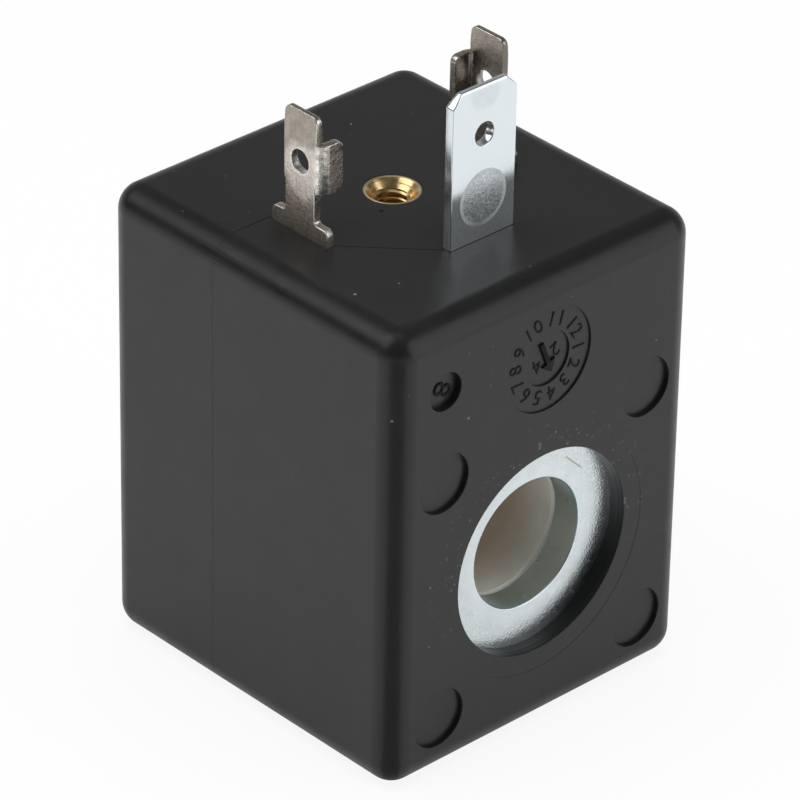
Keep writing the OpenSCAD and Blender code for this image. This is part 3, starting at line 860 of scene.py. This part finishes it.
def paper_material(colours, glow):
    """White paper that the camera and shiny surfaces see as white, with a faint shadow, open from below"""
    material, nodes = bare_material("white_paper")
    path = nodes.node("LightPath").outputs
    seen = nodes.math("MAXIMUM", path["Is Camera Ray"], path["Is Transmission Ray"])
    seen = nodes.math("MAXIMUM", seen, nodes.times(path["Is Glossy Ray"], GLOSSY_SHARE))
    matt = nodes.node("BsdfDiffuse", {"Color": opaque(colours.paper, 1.0)}).outputs[0]
    white = nodes.node("Emission", {"Strength": 1.0}).outputs[0]
    paper = nodes.node("MixShader", {0: nodes.times(seen, glow), 1: matt, 2: white}).outputs[0]
    under = nodes.node("NewGeometry").outputs["Backfacing"]
    open_below = nodes.node("BsdfTransparent").outputs[0]
    both = nodes.node("MixShader", {0: under, 1: paper, 2: open_below}).outputs[0]
    nodes.node("OutputMaterial", {"Surface": both})
    return material


def glowing_material(name, maker, level):
    """Material that only glows, by what a maker works out from a level and the place on the piece"""
    material, nodes = bare_material(name)
    glow = maker(nodes, nodes.node("TexCoord").outputs["Object"], level)
    light = nodes.node("Emission", {"Color": glow, "Strength": 1.0}).outputs[0]
    nodes.node("OutputMaterial", {"Surface": light})
    return material


def wall_glow(nodes, place, level):
    """Glow of dim studio walls, paler behind the coil and overhead"""
    direction = nodes.vector("NORMALIZE", place)
    height = nodes.parts(direction)["Z"]
    behind = nodes.ranged(nodes.vector("DOT_PRODUCT", direction, BEHIND), 0.2, 0.85)
    pale = nodes.times(behind, nodes.ranged(height, 0.05, 0.85, 0.45, 0.0))
    return nodes.plus(pale, nodes.ranged(height, 0.92, 0.985, level, 0.45))


def flag_glow(nodes, place, level):
    """Glow of a sheet of painted shade that fades into the white floor away from the block"""
    return nodes.ranged(nodes.vector("LENGTH", place), 0.10, 0.20, level, 0.7)


class COIL_OT_stage(bpy.types.Operator):
    """Sets up the camera, the white floor and background, the lamps and the dim studio round them"""

    bl_idname = "coil.stage"
    bl_label = "Stage"

    def execute(self, context):
        stage = context.scene.coil_stage
        context.scene.view_settings.view_transform = "Standard"
        self.add_camera(context, stage)
        self.add_floor(context, stage)
        self.add_lamp("left_softbox", stage.left_place, LEFT_BOX, stage.left_power)
        self.add_lamp("right_softbox", stage.right_place, RIGHT_BOX, stage.right_power)
        fill = self.add_lamp("soft_fill", stage.fill_place, FILL_BOX, stage.fill_power)
        fill.visible_glossy = False
        self.add_walls(context, stage)
        self.add_flag(context, stage)
        self.add_background(context)
        return {"FINISHED"}

    def add_camera(self, context, stage):
        """Camera at the photograph's viewing angle"""
        turn, lift = stage.azimuth, stage.elevation
        back = Vector((math.sin(turn) * math.cos(lift), -math.cos(turn) * math.cos(lift), math.sin(lift)))
        level = Vector((math.cos(turn), math.sin(turn), 0))
        axes = Matrix((level, back.cross(level), back)).transposed()
        axes = axes @ Matrix.Rotation(stage.roll, 3, "Z")
        aim = Vector((0, 0, stage.aim_height))
        bpy.ops.object.camera_add()
        camera = context.object
        camera.name = "photo_camera"
        camera.data.sensor_width = SENSOR_WIDTH
        camera.data.lens = stage.lens
        camera.data.clip_start = 1 * MM
        place = axes.to_4x4()
        place.translation = aim + axes @ Vector((stage.aim_right, stage.aim_up, stage.distance))
        camera.matrix_world = place
        context.scene.camera = camera

    def add_floor(self, context, stage):
        """Wide white floor just under the block"""
        bpy.ops.mesh.primitive_plane_add(size=FLOOR_SIZE, location=(0, 0, BASE - FLOOR_DROP))
        floor = context.object
        floor.name = "floor"
        settle(floor)
        floor.data.materials.append(paper_material(context.scene.coil_colours, stage.floor_glow))

    def add_lamp(self, name, place, size, power):
        """Soft lamp of a width and height that faces the coil"""
        facing = Vector(place).to_track_quat("Z", "Y").to_euler()
        bpy.ops.object.light_add(type="AREA", location=place, rotation=facing)
        lamp = bpy.context.object
        lamp.name = name
        lamp.data.shape = "RECTANGLE"
        lamp.data.size, lamp.data.size_y = size
        lamp.data.energy = power
        lamp.visible_camera = False
        return lamp

    def add_walls(self, context, stage):
        """Dim walls round the stage, which the camera looks through"""
        bpy.ops.mesh.primitive_uv_sphere_add(segments=64, ring_count=32, radius=WALL_RADIUS)
        walls = context.object
        walls.name = "studio_walls"
        walls.data.materials.append(glowing_material("dim_walls", wall_glow, stage.wall_level))
        walls.visible_camera = False
        walls.visible_shadow = False

    def add_flag(self, context, stage):
        """Sheet of painted shade on the floor before the camera, seen only in reflections, as a darker band
        on the block's front corner
        """
        bpy.ops.mesh.primitive_circle_add(vertices=3, radius=1, fill_type="NGON")
        shade_card = context.object
        shade_card.name = "painted_shade_card"
        end = TOWARD * SHADE_CARD_LENGTH
        half = ASIDE * SHADE_CARD_HALF_WIDTH
        for vertex, corner in zip(shade_card.data.vertices, (Vector((0, 0, 0)), end + half, end - half)):
            vertex.co = corner
        shade_card.location = (LEFT + SHADE_CARD_INSET, FRONT + SHADE_CARD_INSET, BASE - FLOOR_DROP / 2)
        shade_card.data.materials.append(glowing_material("painted_shade_glow", flag_glow, stage.flag_level))
        shade_card.visible_camera = False
        shade_card.visible_diffuse = False
        shade_card.visible_shadow = False

    def add_background(self, context):
        """White behind the dim walls, for views that look past the floor"""
        world = bpy.data.worlds.new("white_background")
        world.use_nodes = True
        world.node_tree.nodes["Background"].inputs["Color"].default_value = (1, 1, 1, 1)
        context.scene.world = world


class COIL_OT_block(bpy.types.Operator):
    """Softens the rims of the moulded block, and cuts its seat, slot, pit and fine lines"""

    bl_idname = "coil.block"
    bl_label = "Moulded Block"

    def execute(self, context):
        sizes = context.scene.coil_sizes
        block = copy_of("encapsulation", "moulded_block")
        outer = ((Y_AXIS, FRONT), (Y_AXIS, REAR), (Z_AXIS, TOP))

        def rim(edge):
            sharp = edge.calc_face_angle(0) > RIM_ANGLE
            return sharp and any(on_plane(edge, axis, level) for axis, level in outer)

        round_edges(block, sizes.rim_round, rim)
        cut(block, disc_cutter(sizes.seat_d / 2, sizes.seat_depth))
        cut(block, self.slot_cutter(sizes))
        cut(block, self.pit_cutter())
        cut(block, ring_cutter(sizes.recess_d / 2, sizes.wall_line_d, ROUND_SIDES,
                               (0, FRONT + sizes.wall_line_depth, 0), math.pi / 2))
        for line, width in self.parting_lines(sizes):
            cut(block, groove_cutter(line, width))
        smooth(block)
        finish_piece(block, moulding_material(context.scene.coil_colours), "encapsulation", "encapsulation")
        return {"FINISHED"}

    def slot_cutter(self, sizes):
        """Box that leaves a narrow gap round the foot of the earth blade"""
        bpy.ops.mesh.primitive_cube_add(size=1, location=(0, EARTH_LOW.y + sizes.earth_t / 2, TOP))
        cutter = bpy.context.object
        wide = EARTH_HIGH.x - EARTH_LOW.x
        cutter.scale = (wide + 2 * sizes.slot_gap, sizes.earth_t + 2 * sizes.slot_gap, 2 * sizes.slot_depth)
        return settle(cutter)

    def pit_cutter(self):
        """Ball that leaves the small pit before the insert"""
        bpy.ops.mesh.primitive_uv_sphere_add(segments=24, ring_count=12, radius=PIT_RADIUS, location=PIT)
        return settle(bpy.context.object)

    def parting_lines(self, sizes):
        """Lines where the mould's halves met and their widths: faint down the sides, clearer on the top"""
        radius = sizes.edge_round
        arc = [math.pi / 2 * step / BEND_STEPS for step in range(BEND_STEPS + 1)]
        centre = Vector((LEFT + radius, sizes.parting_y, 0))
        upper = [centre + Vector((-radius * math.cos(a), 0, TOP - radius + radius * math.sin(a)))
                 for a in arc]
        lower = [centre + Vector((-radius * math.cos(a), 0, BASE + radius - radius * math.sin(a)))
                 for a in arc]
        side = [Vector((0, sizes.parting_y, BASE)), *reversed(lower), *upper]
        over = [upper[-1], Vector((LINE_HIGH.x - sizes.parting_foot, sizes.parting_y, TOP))]
        slant = [SLANT_START, Vector((EARTH_LOW.x, EARTH_LOW.y + sizes.earth_t / 2, TOP))]
        for line, width in ((side, sizes.parting_fine), (over, sizes.parting_w), (slant, sizes.parting_w)):
            yield line, width
            yield [Vector((-point.x, point.y, point.z)) for point in line], width


class COIL_OT_figures(bpy.types.Operator):
    """Raises the figures of the date dial, its pointer and the figure in the cavity mark"""

    bl_idname = "coil.figures"
    bl_label = "Moulded Figures"

    def execute(self, context):
        sizes = context.scene.coil_sizes
        material = figure_material(context.scene.coil_colours)
        dial = Vector((0, FRONT + sizes.dial_depth, TOP - sizes.dial_drop))
        cavity = Vector((sizes.cavity_x, FRONT + sizes.cavity_depth, TOP - sizes.cavity_drop))
        figures = self.dial_figures(sizes, dial)
        pointer = self.pointer(sizes, dial + Vector((0, sizes.dial_depth, 0)))
        mark = self.raised("8", sizes.cavity_height, sizes.cavity_relief, cavity, sizes.cavity_turn)
        mark.name = "cavity_figure"
        for piece in (figures, pointer, mark):
            finish_piece(piece, material, "encapsulation")
        return {"FINISHED"}

    def upright(self, place, turn):
        """Stands a flat piece on a floor in the front face, turned clockwise"""
        turned = Matrix.Rotation(turn, 4, "Y") @ Matrix.Rotation(math.pi / 2, 4, "X")
        return Matrix.Translation(place) @ turned

    def raised(self, text, height, relief, place, turn):
        """Round-backed figures that stand on a floor in the front face"""
        bpy.ops.object.text_add()
        words = bpy.context.object
        words.data.body = text
        words.data.align_x = "CENTER"
        words.data.align_y = "CENTER"
        words.data.size = height / FIGURE_SHARE
        words.data.space_character = FIGURE_SPACING
        words.data.offset = -0.8 * relief
        words.data.bevel_depth = relief
        words.data.bevel_resolution = 2
        words.data.resolution_u = 6
        bpy.ops.object.convert(target="MESH")
        words = bpy.context.object
        words.matrix_world = self.upright(place, turn)
        settle(words)
        with editing(words):
            weld()
            select_all()
            bpy.ops.mesh.bisect(plane_co=place + Vector((0, FIGURE_SINK, 0)), plane_no=(0, 1, 0),
                                use_fill=True, clear_outer=True, threshold=MERGE)
            face_outward()
        smooth(words)
        return words

    def dial_figures(self, sizes, dial):
        """Numbers 1 to 12 round the dial: a number with two figures takes more of the ring"""
        room = {number: 1.0 if number < 10 else PAIR_ROOM for number in range(1, 13)}
        step = 2 * math.pi / sum(room.values())
        turn = sizes.figure_turn
        made = []
        for number in room:
            out = Vector((math.sin(turn), 0, math.cos(turn))) * sizes.figure_ring
            made.append(self.raised(str(number), sizes.figure_height, sizes.relief, dial + out, turn))
            after = room.get(number + 1, 1.0)
            turn += step * (room[number] + after) / 2
        return joined(made, "dial_figures")

    def pointer(self, sizes, floor):
        """Arrow in the middle of the dial, with a plain figure on each side"""
        bpy.ops.mesh.primitive_plane_add(size=1)
        arrow = bpy.context.object
        height = POINTER_RISE * sizes.relief
        arrow.scale = (sizes.shaft_w, sizes.shaft_l, 1)
        settle(arrow)
        with editing(arrow):
            pick(arrow, lambda edge: all(v.co.y > sizes.shaft_l * 0.4 for v in edge.verts))
            bpy.ops.mesh.extrude_region_move()
            bpy.ops.transform.resize(value=(HEAD_SPREAD, 1, 1))
            bpy.ops.mesh.extrude_region_move(TRANSFORM_OT_translate={"value": (0, sizes.head_l, 0)})
            bpy.ops.mesh.merge(type="CENTER")
            select_all()
            bpy.ops.mesh.extrude_region_move(TRANSFORM_OT_translate={"value": (0, 0, height)})
            face_outward()
        round_edges(arrow, sizes.relief, lambda edge: on_plane(edge, Z_AXIS, height))
        smooth(arrow)
        turn = sizes.pointer_turn
        arrow.matrix_world = self.upright(floor, turn) @ Matrix.Translation((0, -sizes.shaft_back, 0))
        settle(arrow)
        beside = Vector((math.cos(turn), 0, -math.sin(turn))) * sizes.beside
        made = [arrow]
        for text, side in (("2", -1), ("4", 1)):
            made.append(self.raised(text, sizes.figure_height, sizes.relief, floor + beside * side, turn))
        return joined(made, "dial_pointer")


class COIL_OT_blades(bpy.types.Operator):
    """Rounds the edges of the line blade, coins its hole, and copies it half round for the neutral blade"""

    bl_idname = "coil.blades"
    bl_label = "Line and Neutral Blades"

    def execute(self, context):
        sizes = context.scene.coil_sizes
        blade = copy_of("line_terminal", "line_blade")

        def at_hole(edge):
            reach = [math.hypot(v.co.y - BLADE_TURN.y, v.co.z - TOP - sizes.hole_height) for v in edge.verts]
            return edge.calc_face_angle(0) > RIM_ANGLE and max(reach) < sizes.hole_d / 2 + TOUCH

        def outer(edge):
            plain = all(len(vertex.link_edges) < CROWDED for vertex in edge.verts)
            return plain and edge.is_convex and edge.calc_face_angle(0) > EDGE_ANGLE and not at_hole(edge)

        round_edges(blade, sizes.blade_round, outer)
        round_edges(blade, sizes.hole_coin, at_hole)
        smooth(blade)
        material = tin_material(context.scene.coil_colours, sizes)
        make_active(blade)
        bpy.ops.object.duplicate()
        other = context.object
        other.name = "neutral_blade"
        middle = Matrix.Translation(BLADE_TURN)
        other.matrix_world = middle @ Matrix.Rotation(math.pi, 4, "Z") @ middle.inverted()
        settle(other)
        finish_piece(blade, material, "tinned_brass", "line_terminal")
        finish_piece(other, material, "tinned_brass", "neutral_terminal")
        return {"FINISHED"}


class COIL_OT_earth(bpy.types.Operator):
    """Rounds the edges of the earth blade"""

    bl_idname = "coil.earth"
    bl_label = "Earth Blade"

    def execute(self, context):
        sizes = context.scene.coil_sizes
        blade = copy_of("earth_terminal", "earth_blade")
        round_edges(blade, sizes.blade_round, lambda edge: edge.calc_face_angle(0) > EDGE_ANGLE)
        smooth(blade)
        material = bright_material(context.scene.coil_colours, sizes)
        finish_piece(blade, material, "zinc_steel", "earth_terminal")
        return {"FINISHED"}


class COIL_OT_insert(bpy.types.Operator):
    """Rounds the rims of the brass insert, and cuts its thread and the tool line in its mouth"""

    bl_idname = "coil.insert"
    bl_label = "Threaded Insert"

    def execute(self, context):
        sizes = context.scene.coil_sizes
        insert = copy_of("threaded_insert", "brass_insert")

        def rim(edge):
            return on_plane(edge, Z_AXIS, TOP) and edge.calc_face_angle(0) > EDGE_ANGLE

        round_edges(insert, sizes.mouth_round, rim)
        cut(insert, self.thread(sizes))
        cut(insert, ring_cutter(sizes.tool_line_reach, sizes.tool_line_d, MOUTH_SIDES,
                                (INSERT_X, INSERT_Y, TOP - sizes.tool_line_drop)))
        smooth(insert)
        finish_piece(insert, brass_material(context.scene.coil_colours), "brass", "threaded_insert")
        return {"FINISHED"}

    def thread(self, sizes):
        """Helical ridge with the profile of the thread"""
        outer = sizes.thread_d / 2
        inner = outer - sizes.thread_depth
        half = sizes.thread_pitch * THREAD_FLANK
        ridge = profile(((outer, 0, 0), (inner, 0, half), (inner, 0, -half)))
        apply_modifier(
            ridge, "SCREW", angle=2 * math.pi, screw_offset=sizes.thread_pitch, iterations=THREAD_TURNS,
            steps=THREAD_STEPS, render_steps=THREAD_STEPS, use_merge_vertices=False)
        with editing(ridge):
            bpy.ops.mesh.select_non_manifold()
            bpy.ops.mesh.fill_holes(sides=0)
            face_outward()
        ridge.location = (INSERT_X, INSERT_Y, TOP + THREAD_LIFT - THREAD_TURNS * sizes.thread_pitch)
        return settle(ridge)


class COIL_OT_yoke(bpy.types.Operator):
    """Rounds the edges of the yoke's bore, dishes its faces and gives the steel its plating"""

    bl_idname = "coil.yoke"
    bl_label = "Yoke"

    def execute(self, context):
        sizes = context.scene.coil_sizes
        yoke = copy_of("yoke", "steel_yoke")
        radius = sizes.bore_d / 2

        def bore_edge(edge):
            on_bore = all(abs(math.hypot(v.co.x, v.co.z) - radius) < BORE_TOUCH for v in edge.verts)
            return on_bore and edge.calc_face_angle(0) > RIM_ANGLE

        round_edges(yoke, sizes.bore_round, bore_edge)
        for side, plate in ((-1, YOKE_LOW.y), (1, YOKE_HIGH.y)):
            combine(yoke, self.dish(sizes, side, plate), "UNION")
        smooth(yoke)
        finish_piece(yoke, zinc_material(context.scene.coil_colours), "zinc_steel", "yoke")
        return {"FINISHED"}

    def dish(self, sizes, side, plate):
        """Ring that lets a plate's face rise a little from the bore to the wall of the recess"""
        inner = sizes.bore_d / 2 + 1.2 * sizes.bore_round
        outer = sizes.recess_d / 2 - DISH_GAP
        buried = plate - side * DISH_SINK
        rise = plate + side * sizes.dish
        ring = profile(((inner, plate, 0), (outer, rise, 0), (outer, buried, 0), (inner, buried, 0)))
        with editing(ring):
            select_all()
            bpy.ops.mesh.spin(steps=DISH_STEPS, angle=2 * math.pi, center=(0, 0, 0), axis=(0, 1, 0))
            weld()
            face_outward()
        return ring


class COIL_OT_inner_parts(bpy.types.Operator):
    """Gives the bobbin, the winding and the other pieces inside the block their finishes"""

    bl_idname = "coil.inner_parts"
    bl_label = "Inner Parts"

    def execute(self, context):
        colours = context.scene.coil_colours
        for maker, names in ((natural_material, ("bobbin", "terminal_carrier")),
                             (winding_material, ("winding", "start_lead", "finish_lead")),
                             (tape_material, ("winding_tape",)),
                             (solder_material, ("solder_joints",))):
            material = maker(colours)
            for name in names:
                finish_node(name, material)
        return {"FINISHED"}


class COIL_PT_finish(bpy.types.Panel):
    """Lists the steps that finish the coil"""

    bl_idname = "COIL_PT_finish"
    bl_label = "Coil Finish"
    bl_space_type = "VIEW_3D"
    bl_region_type = "UI"
    bl_category = "Coil"

    def draw(self, context):
        for operator in OPERATORS:
            self.layout.operator(operator.bl_idname)
        for group in (context.scene.coil_sizes, context.scene.coil_colours, context.scene.coil_stage):
            box = self.layout.box()
            for name in group.__annotations__:
                box.prop(group, name)


GROUPS = {"coil_sizes": CoilSizes, "coil_colours": CoilColours, "coil_stage": CoilStage}
OPERATORS = (COIL_OT_stage, COIL_OT_block, COIL_OT_figures, COIL_OT_blades, COIL_OT_earth,
             COIL_OT_insert, COIL_OT_yoke, COIL_OT_inner_parts)


def register():
    for cls in (*GROUPS.values(), *OPERATORS, COIL_PT_finish):
        bpy.utils.register_class(cls)
    for name, group in GROUPS.items():
        setattr(bpy.types.Scene, name, bpy.props.PointerProperty(type=group))


def unregister():
    for name in GROUPS:
        delattr(bpy.types.Scene, name)
    for cls in reversed((*GROUPS.values(), *OPERATORS, COIL_PT_finish)):
        bpy.utils.unregister_class(cls)


def main():
    register()
    for operator in OPERATORS:
        family, name = operator.bl_idname.split(".")
        getattr(getattr(bpy.ops, family), name)()


if __name__ == "__main__":
    main()
